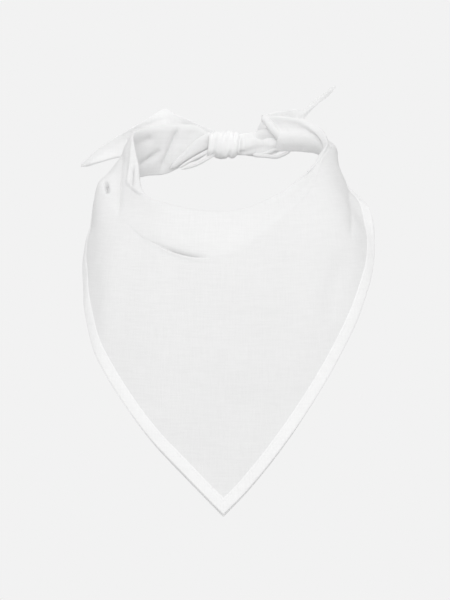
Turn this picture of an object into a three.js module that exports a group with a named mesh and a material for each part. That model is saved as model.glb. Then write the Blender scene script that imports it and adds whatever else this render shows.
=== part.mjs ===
// A neckerchief as worn: a hemmed cotton square folded corner to corner and knotted behind the neck.
// Millimetres, +Z up, the front towards -Y. The origin is the middle of the neck opening.
import * as THREE from "three";

// Driving sizes
const neckHalfWidth = 85; // neck axis to the widest part of the rim
const collarRise = 60; // neck seat level up to the highest rim
const ridgeReach = 95; // neck axis forward to the ridge fold
const ridgeDrop = 58; // neck seat level down to the lowest part of the ridge fold
const bibReach = 118; // neck axis forward to the tip
const bibDrop = 268; // neck seat level down to the tip
const clothWall = 1.2; // thickness of one layer of cloth
const hemWall = 2.2; // thickness of the turned and stitched hem
const hemWidth = 10.5; // edge to stitching
const layerSpace = 1.6; // air between the two layers of the folded square
const lipDepth = 12; // how far the folded neck edge reaches down inside
const rimRoll = 2.4; // radius of the fold at the neck edge
const ridgeRoll = 5; // how far the crease lies behind the ridge fold
const creaseDepth = 4; // depth of the crease above the ridge fold
const knotWidth = 29;
const knotHeight = 26;
const knotDepth = 23;
const tailReach = 134; // neck axis sideways to the left tail's point
const tailRise = 90; // neck seat level up to the right tail's point
const pieceGap = 0.3; // clearance between neighbouring pieces

// Where the pieces end, in degrees round the neck from the front, positive to the right
const tipTurn = -2.2;
const leftSplit = -100;
const rightSplit = 100;
const leftBandEnd = -163;
const rightBandEnd = 157;
const notchTurn = 13; // how far the notch in the right band's end reaches round the neck

// Neck rim. out is a share of neckHalfWidth, up a share of collarRise, puff a share of rimRoll.
const rimRows = [
  { turn: -170, out: 0.87, up: 0.83, puff: 1.0 },
  { turn: -163, out: 0.88, up: 0.85, puff: 1.0 },
  { turn: -151, out: 0.92, up: 0.87, puff: 1.2 },
  { turn: -140, out: 0.97, up: 0.86, puff: 1.2 },
  { turn: -130, out: 1.02, up: 0.83, puff: 1.1 },
  { turn: -120, out: 1.045, up: 0.79, puff: 1.0 },
  { turn: -107, out: 1.035, up: 0.71, puff: 0.9 },
  { turn: -98, out: 0.97, up: 0.52, puff: 0.9 },
  { turn: -88, out: 0.922, up: 0.31, puff: 0.9 },
  { turn: -78, out: 0.924, up: 0.12, puff: 1.0 },
  { turn: -68, out: 0.936, up: -0.03, puff: 1.0 },
  { turn: -57, out: 0.92, up: -0.15, puff: 1.0 },
  { turn: -44, out: 0.88, up: -0.23, puff: 1.0 },
  { turn: -26, out: 0.81, up: -0.3, puff: 1.0 },
  { turn: -10, out: 0.785, up: -0.335, puff: 1.0 },
  { turn: 3, out: 0.77, up: -0.32, puff: 1.0 },
  { turn: 16, out: 0.76, up: -0.265, puff: 1.0 },
  { turn: 34, out: 0.753, up: -0.14, puff: 1.1 },
  { turn: 54, out: 0.765, up: 0.03, puff: 1.2 },
  { turn: 69, out: 0.81, up: 0.18, puff: 1.3 },
  { turn: 81, out: 0.87, up: 0.3, puff: 1.4 },
  { turn: 93, out: 0.94, up: 0.45, puff: 1.5 },
  { turn: 105, out: 1.02, up: 0.61, puff: 1.7 },
  { turn: 118, out: 1.06, up: 0.79, puff: 1.8 },
  { turn: 127, out: 1.045, up: 0.91, puff: 1.5 },
  { turn: 135, out: 1.005, up: 0.98, puff: 0.9 },
  { turn: 149, out: 0.93, up: 1.02, puff: 0.5 },
  { turn: 165, out: 0.88, up: 1.02, puff: 0.4 },
];

// Ridge fold. out is a share of ridgeReach, up a share of ridgeDrop, crease a share of creaseDepth,
// bulge how far the cloth between the rim and the fold stands proud, a share of ridgeRoll.
const ridgeRows = [
  { turn: -170, out: 0.86, up: 0.7, crease: 0.3, bulge: 0.2 },
  { turn: -152, out: 0.88, up: 0.66, crease: 0.3, bulge: 0.2 },
  { turn: -138, out: 0.95, up: 0.56, crease: 0.3, bulge: 0.3 },
  { turn: -122, out: 1.05, up: 0.4, crease: 0.3, bulge: 0.3 },
  { turn: -108, out: 1.13, up: 0.23, crease: 0.3, bulge: 0.3 },
  { turn: -98, out: 1.17, up: 0.13, crease: 0.3, bulge: 0.3 },
  { turn: -90, out: 1.19, up: 0.07, crease: 0.3, bulge: 0.2 },
  { turn: -82, out: 1.145, up: -0.11, crease: 0.4, bulge: 0.1 },
  { turn: -67, out: 1.08, up: -0.39, crease: 0.5, bulge: 0.1 },
  { turn: -55, out: 1.06, up: -0.58, crease: 0.5, bulge: 0.3 },
  { turn: -45, out: 1.045, up: -0.745, crease: 0.7, bulge: 0.6 },
  { turn: -31, out: 1.03, up: -0.89, crease: 1.0, bulge: 0.9 },
  { turn: -13, out: 1.015, up: -0.995, crease: 1.0, bulge: 1.1 },
  { turn: -3, out: 1.0, up: -0.99, crease: 0.6, bulge: 1.2 },
  { turn: 5, out: 0.985, up: -0.88, crease: 0.35, bulge: 1.2 },
  { turn: 13, out: 0.97, up: -0.74, crease: 0.3, bulge: 1.1 },
  { turn: 20, out: 0.945, up: -0.6, crease: 0.3, bulge: 0.9 },
  { turn: 33, out: 0.91, up: -0.4, crease: 0.3, bulge: 0.6 },
  { turn: 49, out: 0.882, up: -0.16, crease: 0.35, bulge: 0.4 },
  { turn: 68, out: 0.855, up: 0.12, crease: 0.4, bulge: 0.3 },
  { turn: 82, out: 0.86, up: 0.33, crease: 0.4, bulge: 0.3 },
  { turn: 95, out: 0.91, up: 0.5, crease: 0.4, bulge: 0.3 },
  { turn: 106, out: 1.01, up: 0.6, crease: 1.0, bulge: 0.3 },
  { turn: 118, out: 1.035, up: 0.65, crease: 1.0, bulge: 0.3 },
  { turn: 134, out: 0.99, up: 0.82, crease: 0.6, bulge: 0.3 },
  { turn: 149, out: 0.93, up: 0.9, crease: 0.3, bulge: 0.3 },
  { turn: 165, out: 0.88, up: 0.9, crease: 0.3, bulge: 0.3 },
];

// Hem edge. out is a share of bibReach, up a share of bibDrop. leave and arrive are the cloth's slopes
// from upright, in degrees, where it leaves the ridge fold and where it reaches the hem.
// show is how far the under layer's edge stands out past the front layer's, a share of hemWidth.
const hemRowsLeft = [
  { turn: -170, out: 0.61, up: 0.1, leave: 30, arrive: 0, show: -0.27 },
  { turn: -163, out: 0.62, up: 0.093, leave: 30, arrive: 0, show: -0.27 },
  { turn: -152, out: 0.64, up: 0.076, leave: 30, arrive: -5, show: -0.27 },
  { turn: -138, out: 0.68, up: 0.042, leave: 30, arrive: -10, show: -0.27 },
  { turn: -122, out: 0.77, up: 0.034, leave: 30, arrive: -15, show: -0.27 },
  { turn: -110, out: 0.88, up: 0.005, leave: 35, arrive: -10, show: -0.27 },
  { turn: -100, out: 0.955, up: -0.035, leave: 40, arrive: 0, show: -0.27 },
  { turn: -94, out: 0.995, up: -0.07, leave: 45, arrive: 5, show: -0.27 },
  { turn: -90, out: 1.022, up: -0.108, leave: 45, arrive: 8, show: -0.27 },
  { turn: -79, out: 1.09, up: -0.24, leave: 45, arrive: 10, show: -0.27 },
  { turn: -71, out: 1.12, up: -0.31, leave: 45, arrive: 10, show: -0.27 },
  { turn: -63, out: 1.166, up: -0.4, leave: 42, arrive: 10, show: -0.27 },
  { turn: -53, out: 1.185, up: -0.518, leave: 36, arrive: 8, show: -0.27 },
  { turn: -44, out: 1.146, up: -0.627, leave: 30, arrive: 8, show: -0.27 },
  { turn: -30.4, out: 1.096, up: -0.765, leave: 22, arrive: 6, show: -0.27 },
  { turn: -16.5, out: 1.028, up: -0.886, leave: 16, arrive: 5, show: -0.27 },
  { turn: -2.2, out: 1.0, up: -1.0, leave: 12, arrive: 4, show: -0.27 },
];
const hemRowsRight = [
  { turn: -2.2, out: 1.0, up: -1.0, leave: 12, arrive: 4, show: -0.27 },
  { turn: 6.8, out: 0.998, up: -0.93, leave: 14, arrive: 4, show: -0.27 },
  { turn: 18, out: 1.012, up: -0.828, leave: 18, arrive: 5, show: -0.27 },
  { turn: 29.1, out: 1.05, up: -0.71, leave: 25, arrive: 6, show: -0.27 },
  { turn: 41.8, out: 1.1, up: -0.558, leave: 38, arrive: 8, show: -0.23 },
  { turn: 52.5, out: 1.137, up: -0.42, leave: 50, arrive: 10, show: -0.13 },
  { turn: 62, out: 1.14, up: -0.305, leave: 60, arrive: 16, show: 0.07 },
  { turn: 71, out: 1.116, up: -0.216, leave: 62, arrive: 28, show: 0.23 },
  { turn: 79, out: 1.087, up: -0.152, leave: 58, arrive: 46, show: 0.3 },
  { turn: 88, out: 1.048, up: -0.075, leave: 50, arrive: 62, show: 0.27 },
  { turn: 94, out: 0.99, up: -0.04, leave: 48, arrive: 64, show: 0.13 },
  { turn: 101, out: 0.9, up: 0.003, leave: 50, arrive: 50, show: -0.13 },
  { turn: 110, out: 0.84, up: 0.05, leave: 45, arrive: 10, show: -0.27 },
  { turn: 118, out: 0.81, up: 0.101, leave: 45, arrive: 0, show: -0.27 },
  { turn: 134, out: 0.76, up: 0.117, leave: 30, arrive: -5, show: -0.27 },
  { turn: 149, out: 0.69, up: 0.118, leave: 30, arrive: 0, show: -0.27 },
  { turn: 165, out: 0.66, up: 0.118, leave: 30, arrive: 0, show: -0.27 },
];

// Folds pressed into the cloth, each along a line from one turn and share of the way down to another.
// spread is the fold's half width and depth how far it goes in, both in shares of ridgeRoll.
const collarFolds = [
  { fromTurn: -101, fromShare: 0.62, toTurn: -72, toShare: 0.88, spread: 0.9, depth: 0.7 },
  { fromTurn: -101, fromShare: 0.47, toTurn: -78, toShare: 0.54, spread: 0.8, depth: -0.4 },
];
const bibFolds = [
  { fromTurn: 56, fromShare: 0.62, toTurn: 92, toShare: 0.45, spread: 1.4, depth: 0.6 },
  { fromTurn: -80, fromShare: 0.05, toTurn: -55, toShare: 0.75, spread: 1.6, depth: 0.5 },
];

// Notch in the right band's inner leg. share is the way up the leg and over, reach a share of notchTurn.
const notchRows = [
  { share: 0, reach: 0.5 },
  { share: 0.08, reach: 0.9 },
  { share: 0.16, reach: 1 },
  { share: 0.27, reach: 0.28 },
  { share: 0.42, reach: 0 },
];

// One column of a table at a place along its key: a smooth curve through the rows on either side.
function along(rows, column, at, key = "turn") {
  const last = rows.length - 1;
  let i = 0;
  while (i < last - 1 && at > rows[i + 1][key]) i += 1;
  const a = rows[i];
  const b = rows[i + 1];
  const span = b[key] - a[key];
  const slope = (b[column] - a[column]) / span;
  const slopeAt = (k) => {
    if (k <= 0 || k >= last) return slope;
    const before = rows[k - 1];
    const after = rows[k + 1];
    return (after[column] - before[column]) / (after[key] - before[key]);
  };
  const t = THREE.MathUtils.clamp((at - a[key]) / span, 0, 1);
  const t2 = t * t;
  const t3 = t2 * t;
  return (
    (2 * t3 - 3 * t2 + 1) * a[column] +
    (t3 - 2 * t2 + t) * span * slopeAt(i) +
    (3 * t2 - 2 * t3) * b[column] +
    (t3 - t2) * span * slopeAt(i + 1)
  );
}

// The section of the cloth at a turn, each place as [out, up] in the upright plane through the neck axis.
function sectionAt(turn) {
  const hemRows = turn < tipTurn ? hemRowsLeft : hemRowsRight;
  const rim = [along(rimRows, "out", turn) * neckHalfWidth, along(rimRows, "up", turn) * collarRise];
  const ridge = [along(ridgeRows, "out", turn) * ridgeReach, along(ridgeRows, "up", turn) * ridgeDrop];
  const hem = [along(hemRows, "out", turn) * bibReach, along(hemRows, "up", turn) * bibDrop];
  return {
    rim,
    ridge,
    hem,
    roll: along(rimRows, "puff", turn) * rimRoll,
    crease: along(ridgeRows, "crease", turn) * creaseDepth,
    bulge: along(ridgeRows, "bulge", turn) * ridgeRoll,
    leave: THREE.MathUtils.degToRad(along(hemRows, "leave", turn)),
    arrive: THREE.MathUtils.degToRad(along(hemRows, "arrive", turn)),
    show: along(hemRows, "show", turn) * hemWidth,
  };
}

const mix = (a, b, t) => [a[0] + (b[0] - a[0]) * t, a[1] + (b[1] - a[1]) * t];
const shift = (a, out, up) => [a[0] + out, a[1] + up];
const lengthOf = (a, b) => Math.hypot(b[0] - a[0], b[1] - a[1]);
const smoothStep = (edge0, edge1, x) => THREE.MathUtils.smoothstep(x, edge0, edge1);

// A place in the upright plane at a turn, as a point in space.
function inSpace(turn, place) {
  const angle = THREE.MathUtils.degToRad(turn);
  return new THREE.Vector3(place[0] * Math.sin(angle), -place[0] * Math.cos(angle), place[1]);
}

// A smooth curve through a few places, read at a share of the way along.
function through(places, share) {
  const last = places.length - 1;
  const at = THREE.MathUtils.clamp(share, 0, 1) * last;
  const i = Math.min(Math.floor(at), last - 1);
  const t = at - i;
  const p = (k) => places[THREE.MathUtils.clamp(k, 0, last)];
  return [0, 1].map((axis) => {
    const a = p(i - 1)[axis];
    const b = p(i)[axis];
    const c = p(i + 1)[axis];
    const d = p(i + 2)[axis];
    return b + 0.5 * t * (c - a + t * (2 * a - 5 * b + 4 * c - d + t * (3 * (b - c) + d - a)));
  });
}

// How far a table of folds presses the cloth in at a turn and a share of its length.
function pressed(folds, turn, share, length) {
  const flat = (atTurn, atShare) =>
    new THREE.Vector2(THREE.MathUtils.degToRad(atTurn) * ridgeReach, atShare * length);
  const here = flat(turn, share);
  let depth = 0;
  for (const fold of folds) {
    const start = flat(fold.fromTurn, fold.fromShare);
    const line = flat(fold.toTurn, fold.toShare).sub(start);
    const offset = here.clone().sub(start);
    const run = offset.dot(line) / line.lengthSq();
    const across = offset.cross(line) / line.length() / (fold.spread * ridgeRoll);
    const ends = smoothStep(-0.1, 0.2, run) * (1 - smoothStep(0.8, 1.1, run));
    depth += fold.depth * ridgeRoll * ends * Math.exp(-across * across);
  }
  return depth;
}

// How deep the crease tucks in behind the ridge fold, less where the collar is narrow.
function tuckAt(section) {
  return Math.min(ridgeRoll, 0.4 * lengthOf(section.rim, section.ridge));
}

// Collar roll: up the inside of the neck edge, over the rim and down to the crease.
function collarPlace(turn, share) {
  const section = sectionAt(turn);
  const { rim, ridge, roll, bulge, crease } = section;
  const foot = shift(ridge, -tuckAt(section) - 0.4, -crease * 0.6);
  const run = lengthOf(rim, foot);
  const normal = [-(foot[1] - rim[1]) / run, (foot[0] - rim[0]) / run];
  const lifted = (t, height) => shift(mix(rim, foot, t), normal[0] * height, normal[1] * height);
  const places = [
    shift(rim, 1.2, -lipDepth),
    shift(rim, 0.2, -lipDepth * 0.55),
    shift(rim, 0.2, -roll * 0.6),
    shift(rim, roll * 0.9, roll * 0.5),
    lifted(0.25, roll * 0.4 + bulge * 0.7),
    lifted(0.5, bulge),
    lifted(0.75, bulge * 0.9),
    foot,
  ];
  const place = through(places, share);
  const fold = pressed(collarFolds, turn, share, run * 1.75);
  return shift(place, -normal[0] * fold, -normal[1] * fold);
}

// Rib of the hanging cloth from the ridge fold to the hem, a share of the way down.
function ribPlace(section, share) {
  const { ridge, hem, leave, arrive } = section;
  const reach = lengthOf(ridge, hem) / 3;
  const first = shift(ridge, Math.sin(leave) * reach, -Math.cos(leave) * reach);
  const second = shift(hem, -Math.sin(arrive) * reach, Math.cos(arrive) * reach);
  const a = mix(ridge, first, share);
  const b = mix(first, second, share);
  const c = mix(second, hem, share);
  return mix(mix(a, b, share), mix(b, c, share), share);
}

// The share of the rib that lies above a strip along the edge, measured square to that edge.
function hemShare(turn, strip = hemWidth) {
  const atTip = Math.abs(turn - tipTurn) < 0.4;
  const base = atTip ? tipTurn : turn;
  const steps = atTip ? [-0.5, 0.5] : [turn < tipTurn ? -0.5 : 0.5];
  const here = inSpace(base, sectionAt(base).hem);
  const above = inSpace(base, ribPlace(sectionAt(base), 0.9));
  const rib = above.clone().sub(here).normalize();
  const length = lengthOf(sectionAt(base).ridge, sectionAt(base).hem) * 1.04;
  const slants = steps.map((step) => {
    const beside = inSpace(base + step, sectionAt(base + step).hem);
    return beside.sub(here).normalize().cross(rib).length();
  });
  return 1 - strip / Math.max(0.55, Math.min(...slants)) / length;
}

// Bib: from the crease up over the ridge fold and down to the hem's inner edge.
const rollShare = 0.1;
function bibPlace(turn, share) {
  const section = sectionAt(turn);
  const { ridge, crease } = section;
  const tuck = tuckAt(section);
  if (share < rollShare) {
    const places = [
      shift(ridge, -tuck * 0.68, -crease),
      shift(ridge, -tuck * 0.45, 0.4),
      ribPlace(section, 0.012),
    ];
    return through(places, share / rollShare);
  }
  const end = hemShare(turn, hemWidth + 2 * pieceGap);
  const down = (share - rollShare) / (1 - rollShare);
  const place = ribPlace(section, 0.012 + (end - 0.012) * down);
  const fold = pressed(bibFolds, turn, down, lengthOf(ridge, section.hem));
  return shift(place, -fold, 0);
}

// Hem: the last stretch of the rib, to the edge.
function hemPlace(turn, share) {
  const start = hemShare(turn);
  return ribPlace(sectionAt(turn), start + (1 - start) * share);
}

// Under layer: the front layer's rib set back by the air between the layers.
function underPlace(turn, share) {
  const section = sectionAt(turn);
  const length = lengthOf(section.ridge, section.hem);
  const extra = section.show / length;
  const reach = 0.1 + (0.9 + extra) * share;
  const place = ribPlace(section, reach);
  const fold = pressed(bibFolds, turn, reach / hemShare(turn), length);
  const back = ribPlace(section, reach - 0.02);
  const run = lengthOf(back, place);
  const normal = [-(place[1] - back[1]) / run, (place[0] - back[0]) / run];
  const inset = layerSpace + (clothWall + hemWall) / 2;
  return shift(place, -normal[0] * inset - fold, -normal[1] * inset);
}

// Neck band: up the inner leg, over the rim and down the gathered outer leg. The right band's inner leg
// ends in a notch, from which the strand comes out.
function bandPoint(turn, share) {
  const notch = turn > 0 ? notchTurn * along(notchRows, "reach", share, "share") : 0;
  const eased = turn - (notch * (turn - rightSplit)) / (rightBandEnd - rightSplit);
  return inSpace(eased, bandPlace(eased, share));
}

function bandPlace(turn, share) {
  const section = sectionAt(turn);
  const { rim, ridge, hem, roll, crease } = section;
  const side = turn < 0 ? leftSplit : rightSplit;
  const end = turn < 0 ? leftBandEnd : rightBandEnd;
  const inwards = smoothStep(0, 0.35, (turn - side) / (end - side));
  const leg = THREE.MathUtils.lerp(lipDepth, rim[1] - hem[1] + 1.5, inwards);
  const spread = THREE.MathUtils.lerp(1, 4 + roll, inwards);
  const gather = inwards * 1.1;
  const lean = inwards;
  const places = [
    shift(rim, 1.2 + lean, -leg),
    shift(rim, -0.6 + lean * 0.6, -leg * 0.66),
    shift(rim, 0.4, -leg * 0.33),
    shift(rim, 0.1, -roll * 0.6),
    shift(rim, roll, roll * 0.6),
    shift(mix(rim, ridge, 0.45), roll * 1.4 + gather - crease * 1.2, 0),
    shift(ridge, spread * 0.8 - gather, 0),
    shift(mix(ridge, hem, 0.35), spread + gather, 0),
    shift(mix(ridge, hem, 0.7), spread - gather, 0),
    shift(hem, spread, 0),
  ];
  return through(places, share);
}

const cottonFront = new THREE.MeshStandardMaterial({ color: 0xf2f2f3, roughness: 0.92, metalness: 0 });
const cottonHem = new THREE.MeshStandardMaterial({ color: 0xf6f6f6, roughness: 0.9, metalness: 0 });
const cottonInner = new THREE.MeshStandardMaterial({ color: 0xe6e6e8, roughness: 0.94, metalness: 0 });

const evenly = (start, end, count) =>
  Array.from({ length: count + 1 }, (_, i) => start + ((end - start) * i) / count);

// A closed mesh from rows of points that go round a ring, with the two end rings filled in.
function ringsToGeometry(rings) {
  const count = rings[0].length;
  const positions = [];
  for (const ring of rings) for (const point of ring) positions.push(point.x, point.y, point.z);
  const faces = [];
  for (let i = 0; i < rings.length - 1; i += 1) {
    for (let j = 0; j < count; j += 1) {
      const a = i * count + j;
      const b = i * count + ((j + 1) % count);
      faces.push(a, b, a + count, b, b + count, a + count);
    }
  }
  return { positions, faces, count };
}

// A wall of cloth: a surface over turns and shares, thickened equally to both sides and closed.
function wallGeometry(pointAt, turns, shares, wall) {
  const step = 1e-3;
  const rings = turns.map((turn, i) => {
    const outer = [];
    const inner = [];
    for (const share of shares) {
      const here = pointAt(turn, share);
      const sideways = i < turns.length - 1 ? 0.05 : -0.05;
      const aside = pointAt(turn + sideways, share).sub(here).multiplyScalar(Math.sign(sideways));
      const downwards = share < 0.5 ? step : -step;
      const down = pointAt(turn, share + downwards).sub(here).multiplyScalar(Math.sign(downwards));
      const normal = down.cross(aside).normalize();
      outer.push(here.clone().addScaledVector(normal, wall / 2));
      inner.push(here.clone().addScaledVector(normal, -wall / 2));
    }
    return [...outer, ...inner.reverse()];
  });
  const { positions, faces, count } = ringsToGeometry(rings);
  // Each end is a strip between the outer and the inner edge
  const half = count / 2;
  const endStart = (rings.length - 1) * count;
  for (let j = 0; j < half - 1; j += 1) {
    const back = count - 1 - j;
    faces.push(j, back, j + 1, j + 1, back, back - 1);
    faces.push(endStart + j, endStart + j + 1, endStart + back);
    faces.push(endStart + j + 1, endStart + back - 1, endStart + back);
  }
  return asGeometry(positions, faces);
}

// A solid body from rings of points, its ends closed with fans.
function bodyGeometry(rings) {
  const { positions, faces, count } = ringsToGeometry(rings);
  const capAt = (start, ring, flip) => {
    const middle = new THREE.Vector3();
    for (const point of ring) middle.addScaledVector(point, 1 / count);
    const index = positions.length / 3;
    positions.push(middle.x, middle.y, middle.z);
    for (let j = 0; j < count; j += 1) {
      const a = start + j;
      const b = start + ((j + 1) % count);
      faces.push(index, flip ? b : a, flip ? a : b);
    }
  };
  capAt(0, rings[0], true);
  capAt((rings.length - 1) * count, rings[rings.length - 1], false);
  return asGeometry(positions, faces);
}

function asGeometry(positions, faces) {
  const geometry = new THREE.BufferGeometry();
  geometry.setAttribute("position", new THREE.Float32BufferAttribute(positions, 3));
  geometry.setIndex(faces);
  geometry.computeVertexNormals();
  // Faces turned inwards are turned round
  let volume = 0;
  const a = new THREE.Vector3();
  const b = new THREE.Vector3();
  const c = new THREE.Vector3();
  for (let i = 0; i < faces.length; i += 3) {
    a.fromArray(positions, faces[i] * 3);
    b.fromArray(positions, faces[i + 1] * 3);
    c.fromArray(positions, faces[i + 2] * 3);
    volume += a.dot(b.cross(c));
  }
  if (volume < 0) {
    const turned = [];
    for (let i = 0; i < faces.length; i += 3) turned.push(faces[i], faces[i + 2], faces[i + 1]);
    geometry.setIndex(turned);
    geometry.computeVertexNormals();
  }
  return geometry;
}

const group = new THREE.Group();
group.name = "neckerchief";
function addPiece(name, geometry, material) {
  const mesh = new THREE.Mesh(geometry, material.clone());
  mesh.name = name;
  group.add(mesh);
}

// Front pieces
const gapTurn = THREE.MathUtils.radToDeg(pieceGap / neckHalfWidth);
const leftTurns = [...evenly(leftSplit, -60, 12), ...evenly(-60, tipTurn, 8).slice(1)];
const rightTurns = [...evenly(tipTurn, 60, 8), ...evenly(60, rightSplit, 13).slice(1)];
const frontTurns = [...leftTurns, ...rightTurns.slice(1)];
const surface = (place) => (turn, share) => inSpace(turn, place(turn, share));
addPiece(
  "bib",
  wallGeometry(surface(bibPlace), frontTurns, [0, 0.05, 0.1, ...evenly(0.18, 1, 10)], clothWall),
  cottonFront,
);
addPiece(
  "under_layer",
  wallGeometry(surface(underPlace), frontTurns, evenly(0, 1, 10), clothWall),
  cottonInner,
);
addPiece(
  "hem_left",
  wallGeometry(surface(hemPlace), [...leftTurns.slice(0, -1), tipTurn - gapTurn], [0, 0.5, 1], hemWall),
  cottonHem,
);
addPiece(
  "hem_right",
  wallGeometry(surface(hemPlace), [tipTurn + gapTurn, ...rightTurns.slice(1)], [0, 0.5, 1], hemWall),
  cottonHem,
);
addPiece(
  "collar_roll",
  wallGeometry(surface(collarPlace), frontTurns, evenly(0, 1, 15), clothWall),
  cottonFront,
);

// Bands behind the neck
addPiece(
  "neck_band_left",
  wallGeometry(
    bandPoint,
    evenly(leftBandEnd, leftSplit - 2 * gapTurn, 16),
    evenly(0, 1, 20),
    clothWall,
  ),
  cottonInner,
);
addPiece(
  "neck_band_right",
  wallGeometry(
    bandPoint,
    evenly(rightSplit + 2 * gapTurn, rightBandEnd, 16),
    evenly(0, 1, 20),
    clothWall,
  ),
  cottonInner,
);

// Knot: a barrel across the neck whose girth swells and pinches along its length.
// across is a share of half of knotWidth, girth a share of the full section.
const knotRows = [
  { across: -1, girth: 0.76 },
  { across: -0.9, girth: 0.9 },
  { across: -0.6, girth: 0.97 },
  { across: -0.3, girth: 0.93 },
  { across: 0, girth: 0.96 },
  { across: 0.3, girth: 0.99 },
  { across: 0.6, girth: 0.96 },
  { across: 0.8, girth: 0.88 },
  { across: 1, girth: 0.72 },
];
const backOut = 0.87 * neckHalfWidth; // neck axis back to the inside of the bands at the knot
const knotMiddle = new THREE.Vector3(-3.6, backOut - 14 + knotDepth / 2, collarRise * 0.6);

// A ring of points with squared-off corners, upright and square to the sideways axis.
function lumpRing(middle, depth, height, lean, count) {
  const round = (value) => Math.sign(value) * Math.pow(Math.abs(value), 0.75);
  return evenly(0, 360, count).slice(1).map((degrees) => {
    const angle = THREE.MathUtils.degToRad(degrees);
    return new THREE.Vector3(
      middle.x + lean * Math.sin(angle),
      middle.y + (round(Math.cos(angle)) * depth) / 2,
      middle.z + (round(Math.sin(angle)) * height) / 2,
    );
  });
}

const knotRings = knotRows.map((row) =>
  lumpRing(
    knotMiddle.clone().add(new THREE.Vector3((row.across * knotWidth) / 2, 0, 0)),
    knotDepth * row.girth,
    knotHeight * row.girth,
    1.2,
    20,
  ),
);
addPiece("knot", bodyGeometry(knotRings), cottonFront);

// Strand from the knot into the right band. across is a share of strandLength from the knot's side, out a
// share of ridgeReach, up and height shares of knotHeight, depth a share of knotDepth.
const strandLength = 32;
const strandRows = [
  { across: 0, out: 0.745, up: 0, height: 0.72, depth: 0.4 },
  { across: 0.14, out: 0.762, up: 0.02, height: 0.78, depth: 0.44 },
  { across: 0.3, out: 0.794, up: 0.04, height: 0.76, depth: 0.34 },
  { across: 0.44, out: 0.826, up: 0.06, height: 0.76, depth: 0.24 },
  { across: 0.6, out: 0.846, up: 0.08, height: 0.74, depth: 0.16 },
  { across: 0.8, out: 0.848, up: 0.08, height: 0.56, depth: 0.12 },
  { across: 1, out: 0.836, up: 0.1, height: 0.38, depth: 0.1 },
];
const strandStart = knotMiddle.x + knotWidth / 2 + 1.2 + pieceGap * 2;
const strandRings = strandRows.map((row) => {
  const x = strandStart + row.across * strandLength;
  const out = row.out * ridgeReach;
  const up = collarRise * 0.61 + row.up * knotHeight;
  const middle = new THREE.Vector3(x, Math.sqrt(out * out - x * x), up);
  return lumpRing(middle, row.depth * knotDepth, row.height * knotHeight, 0, 14);
});
addPiece("knot_strand", bodyGeometry(strandRings), cottonFront);

// Tails behind the bands. along is a share of the tail's reach sideways, back a share of ridgeReach,
// top and foot shares of tailRise, bow how far the middle of the width stands back, in shares of ridgeRoll.
const tailRowsLeft = [
  { along: 0.05, back: 0.882, top: 0.52, foot: 0.33, bow: 0 },
  { along: 0.18, back: 0.94, top: 0.593, foot: 0.31, bow: 0.5 },
  { along: 0.29, back: 0.97, top: 0.665, foot: 0.33, bow: 0.9 },
  { along: 0.434, back: 1.0, top: 0.765, foot: 0.35, bow: -0.6 },
  { along: 0.57, back: 0.97, top: 0.65, foot: 0.31, bow: 0.5 },
  { along: 0.666, back: 0.925, top: 0.568, foot: 0.285, bow: 0.7 },
  { along: 0.775, back: 0.87, top: 0.472, foot: 0.262, bow: 0.5 },
  { along: 0.873, back: 0.82, top: 0.377, foot: 0.22, bow: 0.3 },
  { along: 0.948, back: 0.78, top: 0.28, foot: 0.185, bow: 0.1 },
  { along: 1, back: 0.74, top: 0.205, foot: 0.18, bow: 0 },
];
const tailRowsRight = [
  { along: 0.02, back: 0.885, top: 0.48, foot: 0.32, bow: 0 },
  { along: 0.17, back: 0.94, top: 0.5, foot: 0.28, bow: 0.3 },
  { along: 0.244, back: 0.99, top: 0.685, foot: 0.28, bow: 0.5 },
  { along: 0.36, back: 1.01, top: 0.74, foot: 0.34, bow: 0.8 },
  { along: 0.45, back: 1.01, top: 0.757, foot: 0.46, bow: 0.5 },
  { along: 0.518, back: 1.0, top: 0.765, foot: 0.655, bow: 0.1 },
  { along: 0.565, back: 0.99, top: 0.82, foot: 0.74, bow: 0.1 },
  { along: 0.62, back: 0.98, top: 0.885, foot: 0.82, bow: 0.1 },
  { along: 0.69, back: 0.96, top: 0.965, foot: 0.9, bow: 0.05 },
  { along: 0.73, back: 0.95, top: 1.0, foot: 0.975, bow: 0 },
];

function tailPoint(rows, side) {
  return (reach, share) => {
    const column = (name) => along(rows, name, reach, "along");
    const top = column("top");
    return new THREE.Vector3(
      side * tailReach * reach,
      column("back") * ridgeReach + column("bow") * ridgeRoll * Math.sin(Math.PI * share),
      tailRise * (top + (column("foot") - top) * share),
    );
  };
}

const stationsOf = (rows) => {
  const stops = rows.map((row) => row.along);
  return stops.flatMap((stop, i) => (i ? [(stops[i - 1] + stop) / 2, stop] : [stop]));
};
addPiece(
  "tail_left",
  wallGeometry(tailPoint(tailRowsLeft, -1), stationsOf(tailRowsLeft), evenly(0, 1, 5), hemWall),
  cottonInner,
);
addPiece(
  "tail_right",
  wallGeometry(tailPoint(tailRowsRight, 1), stationsOf(tailRowsRight), evenly(0, 1, 5), hemWall),
  cottonInner,
);

export default group;
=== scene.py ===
import math

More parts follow.
